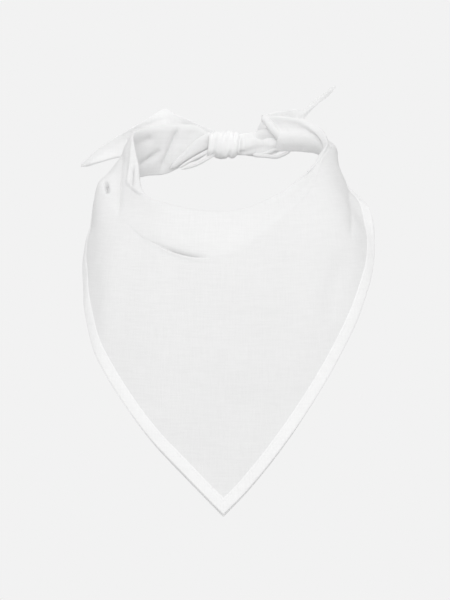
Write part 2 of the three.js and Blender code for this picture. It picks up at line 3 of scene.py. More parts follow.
import bpy
import numpy as np
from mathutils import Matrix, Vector


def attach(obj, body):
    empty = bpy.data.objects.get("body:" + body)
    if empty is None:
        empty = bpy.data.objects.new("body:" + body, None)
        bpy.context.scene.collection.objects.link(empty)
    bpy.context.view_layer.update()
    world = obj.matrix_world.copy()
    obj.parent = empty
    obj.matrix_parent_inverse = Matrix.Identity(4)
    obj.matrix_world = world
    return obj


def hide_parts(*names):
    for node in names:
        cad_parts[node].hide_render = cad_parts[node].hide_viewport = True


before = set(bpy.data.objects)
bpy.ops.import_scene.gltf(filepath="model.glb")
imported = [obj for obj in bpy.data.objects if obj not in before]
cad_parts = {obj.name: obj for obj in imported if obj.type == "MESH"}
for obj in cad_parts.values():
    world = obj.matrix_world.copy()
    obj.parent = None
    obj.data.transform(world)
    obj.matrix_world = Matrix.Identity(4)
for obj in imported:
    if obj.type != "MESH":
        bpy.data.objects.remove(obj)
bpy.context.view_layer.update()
print("frame loaded")

mm = 0.001
fine = 1.0  # share of the full number of grid lines

# The neckerchief's own sizes, in millimetres
cloth = {
    "neckHalfWidth": 85.0,
    "collarRise": 60.0,
    "ridgeReach": 95.0,
    "ridgeDrop": 58.0,
    "bibReach": 118.0,
    "bibDrop": 268.0,
    "wall": 0.9,  # one layer
    "hemWall": 2.4,
    "hemWidth": 10.5,
    "layerSpace": 1.6,
    "lipDepth": 12.0,
    "rimRoll": 2.4,
    "ridgeRoll": 5.0,
    "creaseDepth": 4.0,
    "tipTurn": -2.2,
    "leftSplit": -100.0,
    "rightSplit": 100.0,
    "leftBandEnd": -163.0,
    "rightBandEnd": 157.0,
    "notchTurn": 13.0,
    "bandMiddle": 36.0,  # height about which the left band narrows into the knot
    "bandNarrows": 0.35,  # and by what share
}
# Where one stretch of the cloth takes over from the next, in degrees from the front
takeOver = {
    "section": (90, 110),  # the front's section to the bands'
    "frontFolds": (98, 118),  # the front's folds fade out
    "bandFolds": (108, 128),  # the bands' folds fade in
    "narrowing": (-158, -168),  # the left band narrows
}
# Shares of the whole section at which the rim and the ridge fold lie. The hem lies at 1.
rimShare, ridgeShare = 0.17, 0.46
ribStart = 0.012  # share of the rib at which it takes over from the ridge fold
ribBow = 1.04  # a rib's length over its straight line


# A table as named columns, one array each. A turn is in degrees round the neck from the front.
def makeTable(columns, *rows):
    values = np.array(rows, dtype=float)
    return {name: values[:, i] for i, name in enumerate(columns.split())}


# Folds as seen from the front, in millimetres. Positive depth presses in, negative lifts.
def foldTable(*rows):
    return makeTable("fromX fromZ toX toZ bow width depth shape", *rows)


rimTable = makeTable(
    "turn out up puff",
    (-170, 0.87, 0.83, 1.0), (-163, 0.88, 0.85, 1.0), (-151, 0.92, 0.87, 1.2),
    (-140, 0.97, 0.86, 1.2), (-130, 1.02, 0.83, 1.1), (-120, 1.045, 0.79, 1.0),
    (-107, 1.035, 0.71, 0.9), (-98, 0.97, 0.52, 0.9), (-88, 0.922, 0.31, 0.9),
    (-78, 0.924, 0.12, 1.0), (-68, 0.936, -0.03, 1.0), (-57, 0.92, -0.15, 1.0),
    (-44, 0.88, -0.23, 1.0), (-26, 0.81, -0.3, 1.0), (-10, 0.785, -0.335, 1.0),
    (3, 0.77, -0.32, 1.0), (16, 0.76, -0.265, 1.0), (34, 0.753, -0.14, 1.1),
    (54, 0.765, 0.03, 1.2), (69, 0.81, 0.18, 1.3), (81, 0.87, 0.3, 1.4),
    (93, 0.94, 0.45, 1.5), (105, 1.02, 0.61, 1.7), (118, 1.06, 0.79, 1.8),
    (127, 1.045, 0.91, 1.5), (135, 1.005, 0.98, 0.9), (149, 0.93, 1.02, 0.5),
    (165, 0.88, 1.02, 0.4),
)
ridgeTable = makeTable(
    "turn out up crease bulge",
    (-170, 0.86, 0.7, 0.3, 0.2), (-152, 0.88, 0.66, 0.3, 0.2), (-138, 0.95, 0.56, 0.3, 0.3),
    (-122, 1.05, 0.4, 0.3, 0.3), (-108, 1.13, 0.23, 0.1, 0.3), (-98, 1.17, 0.13, 0.0, 0.3),
    (-90, 1.19, 0.07, 0.0, 0.2), (-82, 1.145, -0.11, 0.0, 0.1), (-67, 1.08, -0.39, 0.0, 0.1),
    (-55, 1.06, -0.58, 0.0, 0.3), (-45, 1.045, -0.745, 0.0, 0.6), (-34, 1.033, -0.865, 0.45, 0.9),
    (-30, 1.029, -0.9, 0.85, 0.9), (-24, 1.023, -0.945, 0.95, 0.95), (-17, 1.018, -0.985, 0.9, 1.0),
    (-12, 1.014, -0.997, 0.2, 1.0), (-8, 1.008, -1.0, 0.0, 0.8), (-3, 1.0, -0.99, 0.0, 0.65),
    (5, 0.985, -0.88, 0.0, 0.55), (13, 0.97, -0.74, 0.0, 0.5), (20, 0.945, -0.6, 0.0, 0.45),
    (33, 0.91, -0.4, 0.0, 0.4), (49, 0.882, -0.16, 0.0, 0.4), (68, 0.855, 0.12, 0.0, 0.3),
    (82, 0.86, 0.33, 0.0, 0.3), (95, 0.91, 0.5, 0.3, 0.3), (106, 1.01, 0.6, 1.0, 0.3),
    (118, 1.035, 0.65, 1.0, 0.3), (134, 0.99, 0.82, 0.6, 0.3), (149, 0.93, 0.9, 0.3, 0.3),
    (165, 0.88, 0.9, 0.3, 0.3),
)
hemTableLeft = makeTable(
    "turn out up leave arrive show",
    (-170, 0.61, 0.1, 30, 0, -0.27), (-163, 0.62, 0.093, 30, 0, -0.27),
    (-152, 0.64, 0.076, 30, -5, -0.27), (-138, 0.68, 0.042, 30, -10, -0.27),
    (-122, 0.77, 0.034, 30, -15, -0.27), (-110, 0.88, 0.005, 35, -10, -0.27),
    (-100, 0.955, -0.035, 40, 0, -0.27), (-94, 0.995, -0.07, 45, 5, -0.27),
    (-90, 1.022, -0.108, 45, 8, -0.27), (-79, 1.09, -0.24, 45, 10, -0.1),
    (-71, 1.12, -0.31, 45, 10, 0.1), (-63, 1.166, -0.4, 42, 10, 0.13),
    (-53, 1.185, -0.518, 36, 8, 0.17), (-44, 1.146, -0.627, 30, 8, 0.2),
    (-30.4, 1.096, -0.765, 22, 6, 0.2), (-16.5, 1.028, -0.886, 16, 5, 0.2),
    (-2.2, 1.0, -1.0, 12, 4, 0.2),
)
hemTableRight = makeTable(
    "turn out up leave arrive show",
    (-2.2, 1.0, -1.0, 12, 4, 0.2), (6.8, 0.998, -0.93, 14, 4, 0.2),
    (18, 1.012, -0.828, 18, 5, 0.2), (29.1, 1.05, -0.71, 25, 6, 0.18),
    (41.8, 1.1, -0.558, 38, 8, 0.15), (52.5, 1.137, -0.42, 50, 10, 0.12),
    (62, 1.14, -0.305, 60, 16, 0.09), (71, 1.116, -0.216, 62, 28, 0.23),
    (79, 1.087, -0.152, 58, 46, 0.3), (88, 1.048, -0.075, 50, 62, 0.27),
    (94, 0.99, -0.04, 48, 64, 0.13), (101, 0.9, 0.003, 50, 50, -0.13),
    (110, 0.84, 0.05, 45, 10, -0.27), (118, 0.81, 0.101, 45, 0, -0.27),
    (134, 0.76, 0.117, 30, -5, -0.27), (149, 0.69, 0.118, 30, 0, -0.27),
    (165, 0.66, 0.118, 30, 0, -0.27),
)


# One column of a table: a cubic through its rows, each row's slope taken from the rows beside it.
def along(table, column, turn):
    turns, values = table["turn"], table[column]
    turn = np.asarray(turn, dtype=float)
    slopes = np.diff(values) / np.diff(turns)
    middle = (values[2:] - values[:-2]) / (turns[2:] - turns[:-2])
    slopes = np.concatenate([slopes[:1], middle, slopes[-1:]])
    i = np.clip(np.searchsorted(turns, turn, side="right") - 1, 0, len(turns) - 2)
    span = turns[i + 1] - turns[i]
    t = np.clip((turn - turns[i]) / span, 0, 1)
    rise = (3 - 2 * t) * t * t
    return (
        values[i] * (1 - rise)
        + values[i + 1] * rise
        + span * slopes[i] * t * (1 - t) ** 2
        - span * slopes[i + 1] * t * t * (1 - t)
    )


def smoothStep(low, high, x):
    t = np.clip((x - low) / (high - low), 0, 1)
    return t * t * (3 - 2 * t)


# Smooth curve from b to c at t from 0 to 1, where a is the place before b and d the one after c.
def curveAt(a, b, c, d, t):
    return b + 0.5 * t * (c - a + t * (2 * a - 5 * b + 4 * c - d + t * (3 * (b - c) + d - a)))


# Smooth curves through K places, as an array (K, N, 2), read at shares (N, M) of the way along: (N, M, 2).
def through(places, share):
    last = len(places) - 1
    share = np.broadcast_to(share, (places.shape[1], np.shape(share)[-1]))
    at = np.clip(share, 0, 1) * last
    i = np.minimum(at.astype(int), last - 1)
    t = (at - i)[..., None]
    column = np.arange(places.shape[1])[:, None]
    return curveAt(*(places[np.clip(i + k, 0, last), column] for k in (-1, 0, 1, 2)), t)


# Arrays of coordinates as one array of points.
def stacked(*parts):
    return np.stack(np.broadcast_arrays(*parts), axis=-1)


# Everything about the cloth's section at each turn, with places as [out, up] in an upright plane.
def sectionsAt(turn):
    left = turn < cloth["tipTurn"]

    def hemColumn(name):
        return np.where(left, along(hemTableLeft, name, turn), along(hemTableRight, name, turn))

    return {
        "turn": turn,
        "rim": stacked(along(rimTable, "out", turn) * cloth["neckHalfWidth"],
                       along(rimTable, "up", turn) * cloth["collarRise"]),
        "ridge": stacked(along(ridgeTable, "out", turn) * cloth["ridgeReach"],
                         along(ridgeTable, "up", turn) * cloth["ridgeDrop"]),
        "hem": stacked(hemColumn("out") * cloth["bibReach"], hemColumn("up") * cloth["bibDrop"]),
        "roll": along(rimTable, "puff", turn) * cloth["rimRoll"],
        "crease": along(ridgeTable, "crease", turn) * cloth["creaseDepth"],
        "bulge": along(ridgeTable, "bulge", turn) * cloth["ridgeRoll"],
        "leave": np.radians(hemColumn("leave")),
        "arrive": np.radians(hemColumn("arrive")),
        "show": hemColumn("show") * cloth["hemWidth"],
    }


def shift(place, out, up):
    return place + stacked(out, up)


def lengthOf(a, b):
    return np.linalg.norm(b - a, axis=-1)


def unit(vectors):
    return vectors / np.linalg.norm(vectors, axis=-1, keepdims=True)


def circle(count):
    return np.linspace(0, 2 * math.pi, count, endpoint=False)


# Rib of the hanging cloth: a cubic from the ridge fold to the hem that leaves and arrives at set slopes.
def ribPlaces(sections, share):
    ridge, hem = sections["ridge"], sections["hem"]
    leave, arrive = sections["leave"], sections["arrive"]
    reach = lengthOf(ridge, hem) / 3
    first = shift(ridge, np.sin(leave) * reach, -np.cos(leave) * reach)
    second = shift(hem, -np.sin(arrive) * reach, np.cos(arrive) * reach)
    t = np.broadcast_to(share, (len(ridge), np.shape(share)[-1]))[..., None]  # from 0 to 1, or past it
    a, b, c, d = (p[:, None, :] for p in (ridge, first, second, hem))
    return a * (1 - t) ** 3 + 3 * b * t * (1 - t) ** 2 + 3 * c * t * t * (1 - t) + d * t ** 3


def ribLength(sections):
    return lengthOf(sections["ridge"], sections["hem"]) * ribBow


# Front section: up the inside, over the rim, down the collar, round the ridge fold, then the rib.
def frontPlaces(sections, share):
    rim, ridge, roll = sections["rim"], sections["ridge"], sections["roll"]
    bulge, crease = sections["bulge"], sections["crease"]
    run = lengthOf(rim, ridge)[:, None]
    normal = stacked(-(ridge - rim)[:, 1], (ridge - rim)[:, 0]) / run

    def lifted(t, height):
        return rim + (ridge - rim) * t + normal * height[:, None]

    lip = cloth["lipDepth"]
    inner = np.stack([
        shift(rim, 1.2, -lip),
        shift(rim, 0.2, -lip * 0.55),
        shift(rim, 0.2, -roll * 0.6),
        shift(rim, roll * 0.9, roll * 0.5),
        lifted(0.25, roll * 0.4 + bulge * 0.7),
        lifted(0.5, bulge),
        lifted(0.74, bulge * 0.9),
        lifted(0.9, bulge * 0.55 - crease * 0.15),
        lifted(0.955, bulge * 0.3 - crease),
        lifted(0.985, bulge * 0.1 + crease * 0.02),
        ribPlaces(sections, np.array([ribStart]))[:, 0],
    ])
    upper = np.where(share < rimShare, share / rimShare * 0.3,
                     0.3 + (share - rimShare) / (ridgeShare - rimShare) * 0.7)
    top = through(inner, upper)
    ribShare = ribStart + (share - ridgeShare) / (1 - ridgeShare) * (1 - ribStart)
    rib = ribPlaces(sections, np.maximum(ribShare, 0))
    return np.where((share < ridgeShare)[..., None], top, rib)


# Band section: up the inner leg, over the rim and down the gathered outer leg.
def bandPlaces(sections, share):
    rim, ridge, hem = sections["rim"], sections["ridge"], sections["hem"]
    roll, turn = sections["roll"], sections["turn"]
    side = np.where(turn < 0, cloth["leftSplit"], cloth["rightSplit"])
    end = np.where(turn < 0, cloth["leftBandEnd"], cloth["rightBandEnd"])
    inwards = smoothStep(0, 0.35, (turn - side) / (end - side))
    leg = cloth["lipDepth"] + (rim[:, 1] - hem[:, 1] + 1.5 - cloth["lipDepth"]) * inwards
    spread = 1 + (3 + roll) * inwards
    gather = inwards * 1.1
    lean = np.where(turn > 0, 1.0, 0.5) * inwards
    hollow = np.where(turn > 0, 1.8, 0.0) * inwards

    def between(a, b, t):
        return a + (b - a) * t

    places = np.stack([
        shift(rim, 1.2 + lean, -leg),
        shift(rim, -0.6 + lean * 0.6, -leg * 0.66),
        shift(rim, 0.4 + hollow, -leg * 0.33),
        shift(rim, 0.1, -roll * 0.6),
        shift(rim, roll, roll * 0.6),
        shift(between(rim, ridge, 0.45), roll * 1.4 + gather - sections["crease"] * 1.2, 0.0),
        shift(ridge, spread * 0.8 - gather, 0.0),
        shift(between(ridge, hem, 0.35), spread + gather, 0.0),
        shift(between(ridge, hem, 0.7), spread - gather, 0.0),
        shift(hem, spread, 0.0),
    ])
    # The rim's outer place is the fifth of ten, the ridge the seventh
    at = np.interp(share, [0, rimShare, ridgeShare, 1], [0, 4 / 9, 6 / 9, 1])
    return through(places, at)


# The whole cloth: the front section, turning into the band section past each shoulder.
def clothPlaces(turn, share):
    sections = sectionsAt(turn)
    band = smoothStep(*takeOver["section"], np.abs(turn))[:, None, None]
    return frontPlaces(sections, share) * (1 - band) + bandPlaces(sections, share) * band


def inSpace(turn, places):
    angle = np.radians(turn)
    out, up = places[..., 0], places[..., 1]
    return stacked(out * np.sin(angle), -out * np.cos(angle), up)


# Share of the rib above a strip along the hem: the strip's width over the rib's length, more where the edge
# slants. Beside the tip both sides take the sharper slant of the two, so that the strips meet in a mitre.
def hemShareAt(turn, strip):
    tip, nearTip, leastSlant = cloth["tipTurn"], 0.4, 0.55

    def slantFrom(base, step):
        here, beside = sectionsAt(base), sectionsAt(base + step)
        edge = inSpace(base + step, beside["hem"]) - inSpace(base, here["hem"])
        rib = inSpace(base, ribPlaces(here, np.array([0.9]))[:, 0]) - inSpace(base, here["hem"])
        cross = np.linalg.norm(np.cross(edge, rib), axis=-1)
        return cross / np.linalg.norm(edge, axis=-1) / np.linalg.norm(rib, axis=-1)

    step = np.where(turn < tip, -0.5, 0.5)
    slant = slantFrom(turn, step)
    atTip = np.full(1, tip)
    sharper = min(slantFrom(atTip - 1e-6, -0.5)[0], slantFrom(atTip, 0.5)[0])
    slant = np.where(np.abs(turn - tip) < nearTip, sharper, slant)
    return 1 - strip / np.maximum(leastSlant, slant) / ribLength(sectionsAt(turn))


# Unit normals of a grid of points (N, M, 3): across the rows' and the columns' directions.
def gridNormals(points):
    across, down = np.gradient(points, axis=0), np.gradient(points, axis=1)
    normal = np.cross(down, across)
    return normal / np.maximum(np.linalg.norm(normal, axis=-1, keepdims=True), 1e-9)


# How deep a table of folds presses a grid: for each fold its depth times a profile across its line, fading
# out at both ends. Lines run from (fromX, fromZ) to (toX, toZ) as seen from the front, and bow to their
# right. Shape 0 is a round groove, 1 a sharp valley, and 2 a step, deepest at its line.
def pressedBy(points, folds):
    x, z = points[..., 0], points[..., 2]
    total = np.zeros(x.shape)
    for ax, az, bx, bz, bow, width, depth, shape in np.stack(list(folds.values()), axis=1):
        length = math.hypot(bx - ax, bz - az)
        ux, uz = (bx - ax) / length, (bz - az) / length
        run = ((x - ax) * ux + (z - az) * uz) / length
        off = (x - ax) * uz - (z - az) * ux - bow * 4 * run * (1 - run)
        ends = smoothStep(-0.15, 0.2, run) * (1 - smoothStep(0.8, 1.15, run))
        if shape == 0:
            profile = np.exp(-((off / width) ** 2))
        elif shape == 1:
            profile = np.exp(-np.sqrt(off ** 2 + 0.3) / width)
        else:
            profile = np.exp(-np.maximum(off, 0) / width) * smoothStep(-1.0, 0.3, off)
        total += depth * ends * profile
    return total


# Slow unevenness of cloth: a sum of waves of random direction and phase, each shorter one weaker.
def unevenness(across, down, amplitude, longest, seed, count=14):
    rng = np.random.default_rng(seed)
    total = np.zeros(np.broadcast(across, down).shape)
    for _ in range(count):
        wavelength = longest * rng.uniform(0.25, 1.0)
        direction, phase = rng.uniform(0, math.pi), rng.uniform(0, 2 * math.pi)
        path = across * math.cos(direction) + down * math.sin(direction)
        total += np.sin(2 * math.pi * path / wavelength + phase) * wavelength / longest
    return amplitude * total / math.sqrt(count)


def addObject(name, data):
    made = bpy.data.objects.new(name, data)
    bpy.context.collection.objects.link(made)
    return made


# A mesh object from vertices in millimetres and quads, smooth, with a UV for each vertex.
def makeObject(name, vertices, quads, uv, material):
    mesh = bpy.data.meshes.new(name)
    vertices = np.asarray(vertices, dtype=np.float32).reshape(-1, 3) * mm
    quads = np.asarray(quads, dtype=np.int32).reshape(-1, 4)
    mesh.vertices.add(len(vertices))
    mesh.vertices.foreach_set("co", vertices.ravel())
    mesh.loops.add(quads.size)
    mesh.loops.foreach_set("vertex_index", quads.ravel())
    mesh.polygons.add(len(quads))
    mesh.polygons.foreach_set("loop_start", np.arange(0, quads.size, 4, dtype=np.int32))
    mesh.polygons.foreach_set("loop_total", np.full(len(quads), 4, dtype=np.int32))
    mesh.polygons.foreach_set("use_smooth", np.ones(len(quads), dtype=bool))
    layer = mesh.uv_layers.new(name="UVMap")
    layer.data.foreach_set("uv", np.asarray(uv, dtype=np.float32).reshape(-1, 2)[quads.ravel()].ravel())
    mesh.update(calc_edges=True)
    mesh.validate()
    mesh.materials.append(material)
    made = addObject(name, mesh)
    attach(made, "root")
    return made


# Quads between neighbouring rings of a closed tube of rings, each with count points.
def ringQuads(rings, count):
    i, j = np.meshgrid(np.arange(rings - 1), np.arange(count), indexing="ij")
    a, b = i * count + j, i * count + (j + 1) % count
    return np.stack([a, a + count, b + count, b], axis=-1).reshape(-1, 4)


# The quads as they are, or turned round where the whole would face inwards.
def outward(vertices, quads):
    flat = np.asarray(vertices).reshape(-1, 3)
    a, b, c, d = (flat[quads[:, k]] for k in range(4))
    volume = (a * np.cross(b, c)).sum() + (a * np.cross(c, d)).sum()
    return quads if volume > 0 else quads[:, ::-1]


# A solid from rings of points, (N, M, 3) with M even, closed by a strip of quads across each end ring.
def lumpObject(name, rings, uv, material):
    count = rings.shape[1]
    j = np.arange(count // 2 - 1)
    cap = np.stack([j, count - 1 - j, count - 2 - j, j + 1], axis=-1)
    quads = np.concatenate([ringQuads(len(rings), count), cap, cap[:, ::-1] + (len(rings) - 1) * count])
    return makeObject(name, rings, outward(rings, quads), uv, material)


wallEdge = {"inset": 0.35, "thick": 0.35}  # mm, and share of the wall's thickness at its very edge


# A wall of cloth over a grid: the grid pushed out and in by half the thickness, which falls away at its
# edges from one more line, set in by wallEdge's inset.
def wallObject(name, points, thickness, uv, material):
    half = np.broadcast_to(thickness, points.shape[:2])[..., None] / 2
    grid = np.concatenate([points, gridNormals(points), half, uv], axis=-1)
    for axis in (0, 1):
        grid = np.swapaxes(grid, 0, axis)
        first, last = (
            min(0.5, wallEdge["inset"] / np.linalg.norm(grid[i, :, :3] - grid[k, :, :3], axis=-1).mean())
            for i, k in ((0, 1), (-1, -2))
        )
        grid = np.concatenate([
            grid[:1], grid[:1] * (1 - first) + grid[1:2] * first, grid[1:-1],
            grid[-2:-1] * last + grid[-1:] * (1 - last), grid[-1:],
        ])
        grid[[0, -1], :, 6] *= wallEdge["thick"]
        grid = np.swapaxes(grid, 0, axis)
    points, push, uv = grid[..., :3], grid[..., 3:6] * grid[..., 6:7], grid[..., 7:]
    rings = np.concatenate([points + push, (points - push)[:, ::-1]], axis=1)
    return lumpObject(name, rings, np.concatenate([uv, uv[:, ::-1]], axis=1), material)


# One output in a shader tree, so that shader maths reads as Python sums.
class Out:
    def __init__(self, tree, socket=None):
        self.tree, self.socket = tree, socket

    def node(self, kind, settings=None, inputs=None, output=0):
        made = self.tree.nodes.new(kind)
        for name, value in (settings or {}).items():
            setattr(made, name, value)
        for name, value in (inputs or {}).items():
            if isinstance(value, Out):
                self.tree.links.new(value.socket, made.inputs[name])
            else:
                made.inputs[name].default_value = value
        return Out(self.tree, made.outputs[output])

    def maths(self, operation, *values):
        return self.node("ShaderNodeMath", {"operation": operation}, dict(enumerate(values)))

    def __add__(self, other):
        return self.maths("ADD", self, other)

    def __sub__(self, other):
        return self.maths("SUBTRACT", self, other)

    def __rsub__(self, other):
        return self.maths("SUBTRACT", other, self)

    def __mul__(self, other):
        return self.maths("MULTIPLY", self, other)

    def __truediv__(self, other):
        return self.maths("DIVIDE", self, other)

    def part(self, axis):
        return self.node("ShaderNodeSeparateXYZ", {}, {0: self}, axis)

    def sine(self):
        return self.maths("SINE", self)

    def size(self):
        return self.maths("ABSOLUTE", self)

    def clipped(self, low, high):
        return self.node("ShaderNodeClamp", {}, {"Value": self, "Min": low, "Max": high})


# What a user would change about the cotton
cotton = {
    "threadPitch": 0.62,  # mm from thread to thread
    "weaveHeight": 0.055,  # mm
    "slubHeight": 0.08,  # mm, the thick places in the threads
    "slubLong": 16.0,  # mm
    "slubWide": 1.3,  # mm
    "crossing": 6.0,  # how sharply one thread gives way to the other
    "roughness": 0.93,
    "specular": 0.25,
    "sheen": 0.15,
    "sheenRoughness": 0.6,
    # The pieces are all one white cotton, so their different greys are painted light and shade: the front
    # darker, the knot and tails paler. The hem's paler grey is partly its doubled cloth and partly painted
    # light.
    "front": 0.82,  # greys of the pieces
    "hem": 0.9,
    "knot": 0.93,
    "tail": 0.9,
    "loose": 0.85,
    "paintedBackLight": 0.04,  # painted light: how much paler the cloth is painted behind the neck
    "backFrom": 0.02,  # metres behind the middle at which that begins
    "backOver": 0.04,  # and over which it grows to the whole
    "mottle": 0.02,  # share by which the colour wavers
}


# Cotton, read from UV in metres. Height: the size of a sine across the warp where it lies over, else of one
# across the weft, plus noise drawn out along both directions for slubs. The grey wavers with that noise and
# rises towards the back of the neck by painted light, a paler grey standing in for the light there.
def cottonMaterial(name, paintedBackLight=0.0):
    material = bpy.data.materials.new(name + "Cotton")
    material.use_nodes = True
    tree = material.node_tree
    shader = tree.nodes["Principled BSDF"]
    shader.inputs["Roughness"].default_value = cotton["roughness"]
    shader.inputs["Specular IOR Level"].default_value = cotton["specular"]
    shader.inputs["Sheen Weight"].default_value = cotton["sheen"]
    shader.inputs["Sheen Roughness"].default_value = cotton["sheenRoughness"]
    start = Out(tree)
    uv = start.node("ShaderNodeUVMap", {"uv_map": "UVMap"})
    across, down = uv.part(0), uv.part(1)
    turns = math.pi / (cotton["threadPitch"] * mm)
    warp, weft = (across * turns).sine(), (down * turns).sine()
    over = (warp * weft * cotton["crossing"] + 0.5).clipped(0.0, 1.0)
    weave = warp.size() * over + weft.size() * (1.0 - over)

    def slubs(first, second, seed):
        place = start.node("ShaderNodeCombineXYZ", {}, {
            0: first / (cotton["slubLong"] * mm), 1: second / (cotton["slubWide"] * mm), 2: seed,
        })
        return start.node("ShaderNodeTexNoise", {}, {"Vector": place, "Scale": 1.0, "Detail": 2.0})

    streaks = slubs(across, down, 3.7) + slubs(down, across, 9.1)
    height = weave * cotton["weaveHeight"] + streaks * cotton["slubHeight"]
    bump = start.node("ShaderNodeBump", {}, {"Height": height, "Strength": 1.0, "Distance": mm})
    tree.links.new(bump.socket, shader.inputs["Normal"])
    tone = start.node("ShaderNodeMapRange", {}, {
        "Value": streaks, "From Min": 0.7, "From Max": 1.3,
        "To Min": 1.0 - cotton["mottle"], "To Max": 1.0 + cotton["mottle"],
    })
    # Painted light: the grey rises towards the back of the neck, standing in for the light on the bands and
    # knot there
    if paintedBackLight:
        back = start.node("ShaderNodeTexCoord", {}, {}, 3).part(1)
        rise = ((back - cotton["backFrom"]) / cotton["backOver"]).clipped(0.0, 1.0)
        tone = tone * (rise * paintedBackLight + 1.0)
    tint = start.node("ShaderNodeCombineColor", {}, {i: tone * cotton[name] for i in range(3)})
    tree.links.new(tint.socket, shader.inputs["Base Color"])
    return material


frontCotton = cottonMaterial("front", cotton["paintedBackLight"])
hemCotton, knotCotton, tailCotton, looseCotton = map(cottonMaterial, ("hem", "knot", "tail", "loose"))
print("materials made")

# Folds of the front
frontFolds = foldTable(
    (-96, 34, -95, -19, 0.0, 4.5, 4.0, 1),  # valley down the left of the collar, and its sharp foot
    (-94.6, 16, -95, -17, 0.0, 1.3, 2.2, 1),
    (-88, 4, -84.5, 45, 0.0, 4.5, -2.8, 2),  # left edge of the standing pleat
    (-83.2, 18, -83, 0, 0.0, 1.1, 3.2, 0),  # slit in the pleat
    (-74, -5, -89, 6, -1.8, 3.5, -2.4, 2),  # rounded foot of the pleat
    (-107.2, 4, -105.5, -4, 0.0, 1.5, 9.0, 0),  # small hollow on the left shoulder
    (-118, -34, -116, -130, 0.0, 10.0, 1.8, 0),  # soft groove down the left side
    (-121, 6, -123, -40, 0.0, 7.0, 2.2, 0),  # and the slope of the shoulder above it
    (104.5, -40, 105, 4, 2.0, 4.2, 2.6, 1),  # the right flap behind the front
    (35.5, -11, 76.5, 16.5, 1.5, 3.0, 1.5, 0),  # the neck edge's own roll, wider towards the right
    (98, -55, 84, -110, 3.0, 9.0, 1.2, 0),
    (-40, -75, -75, -150, 5.0, 14.0, 0.8, 0),
)

# Folds of the bands' inner faces, seen through the opening
innerFolds = foldTable(
    (-80, 17.5, -61, 31, 0.5, 2.0, 5.0, 1),
    (-45.5, 50, -60, 15, 0.0, 2.4, 4.4, 1),
    (-82, 38, -68, 42, 0.0, 3.5, 2.2, 0),
)

relief = {
    "slow": 0.35,  # mm, unevenness of the hanging cloth, and its longest wave
    "slowLength": 70.0,
    "quick": 0.16,
    "quickLength": 16.0,
    "reach": 90.0,  # mm from the neck's middle, to turn degrees into lengths
    "gather": 1.1,  # mm, folds along the bands behind the neck
    "gatherCount": 30.0,  # radians of those folds over a whole section
}


# The worn cloth over a grid of turns and shares: the section's place, pushed along its normal by the folds,
# the unevenness and the gathers. Returns the points and their normals.
def clothSurface(turn, share):
    share = np.broadcast_to(share, (len(turn), np.shape(share)[-1]))
    places = clothPlaces(turn, share)
    # The right band's inner leg ends in a notch
    notch = cloth["notchTurn"] * np.interp(share, [0, 0.03, 0.06, 0.104, 0.16], [0.5, 0.9, 1, 0.28, 0])
    split, end = cloth["rightSplit"], cloth["rightBandEnd"]
    bent = turn[:, None] - notch * np.clip((turn[:, None] - split) / (end - split), 0, 1)
    # The left band narrows into the knot
    narrow = 1 - cloth["bandNarrows"] * smoothStep(*takeOver["narrowing"], turn)[:, None]
    places[..., 1] = cloth["bandMiddle"] + (places[..., 1] - cloth["bandMiddle"]) * narrow
    points = inSpace(bent, places)
    normal = gridNormals(points)
    outside = smoothStep(rimShare * 0.95, rimShare * 1.12, share)
    frontal = 1 - smoothStep(*takeOver["frontFolds"], np.abs(turn))[:, None]
    behind = smoothStep(*takeOver["bandFolds"], np.abs(turn))[:, None]
    push = -pressedBy(points, frontFolds) * outside * frontal
    inside = 1 - smoothStep(rimShare * 0.75, rimShare * 0.95, share)
    push = push - pressedBy(points, innerFolds) * inside * behind
    across = np.radians(turn)[:, None] * relief["reach"]
    slow = unevenness(across, points[..., 2], relief["slow"], relief["slowLength"], 5)
    quick = unevenness(across, points[..., 2], relief["quick"], relief["quickLength"], 11)
    push = push + slow + quick * (0.4 + 0.6 * behind)
    # Gathers run along the bands and wander up and down
    wander = 1.2 * np.sin(across / 17) + 0.8 * np.sin(across / 7 + 1)
    phase = (share - rimShare) * relief["gatherCount"] + wander * 0.4
    push = push + relief["gather"] * np.sin(phase) * outside * behind
    return points + normal * push[..., None], normal


# UV in metres: round the neck at the place's own distance from the axis, and down by height.
def clothUv(turn, points):
    out = np.hypot(points[..., 0], points[..., 1])
    return stacked(np.radians(turn)[:, None] * out, points[..., 2]) * mm


def ribToShare(t):
    return ridgeShare + (t - ribStart) / (1 - ribStart) * (1 - ridgeShare)


def gridCount(number):
    return max(8, round(number * fine))


# Values from stop to stop, each stretch evenly divided into the number of lines given with its first stop.
def stops(*pairs):
    spans = [np.linspace(a, b, gridCount(n) + 1)[:-1] for (a, n), (b, _) in zip(pairs, pairs[1:])]
    return np.concatenate(spans + [[pairs[-1][0]]])


# Neck cloth: inside of the neck edge, collar, bib and both bands as one sheet
bandFrom, bandTo = -168.0, cloth["rightBandEnd"]
clothTurns = stops((bandFrom, 150), (-60, 36), (cloth["tipTurn"], 40), (60, 136), (bandTo, 0))
clothShares = stops((0, 34), (rimShare, 48), (ridgeShare, 48), (ribToShare(0.997), 0))
clothPoints, _ = clothSurface(clothTurns, clothShares)
neckCloth = wallObject(
    "neck_cloth", clothPoints, cloth["wall"], clothUv(clothTurns, clothPoints), frontCotton
)
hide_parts("bib", "collar_roll", "neck_band_left", "neck_band_right")
print("neck cloth made")

# Hem: one turned strip round the tip. fromEdge is in mm from the edge, and thick is a share of hemWall.
hemProfile = makeTable(
    "fromEdge thick",
    (10.5, 0.38), (10.1, 0.5), (9.7, 0.62), (9.2, 0.68), (8.7, 0.66), (8.2, 0.72), (7.4, 0.8),
    (6.2, 0.88), (4.6, 0.94), (3.2, 0.98), (2.2, 1.0), (1.5, 1.0), (1.0, 0.95), (0.6, 0.86),
    (0.3, 0.74), (0.1, 0.58), (0.0, 0.42),
)
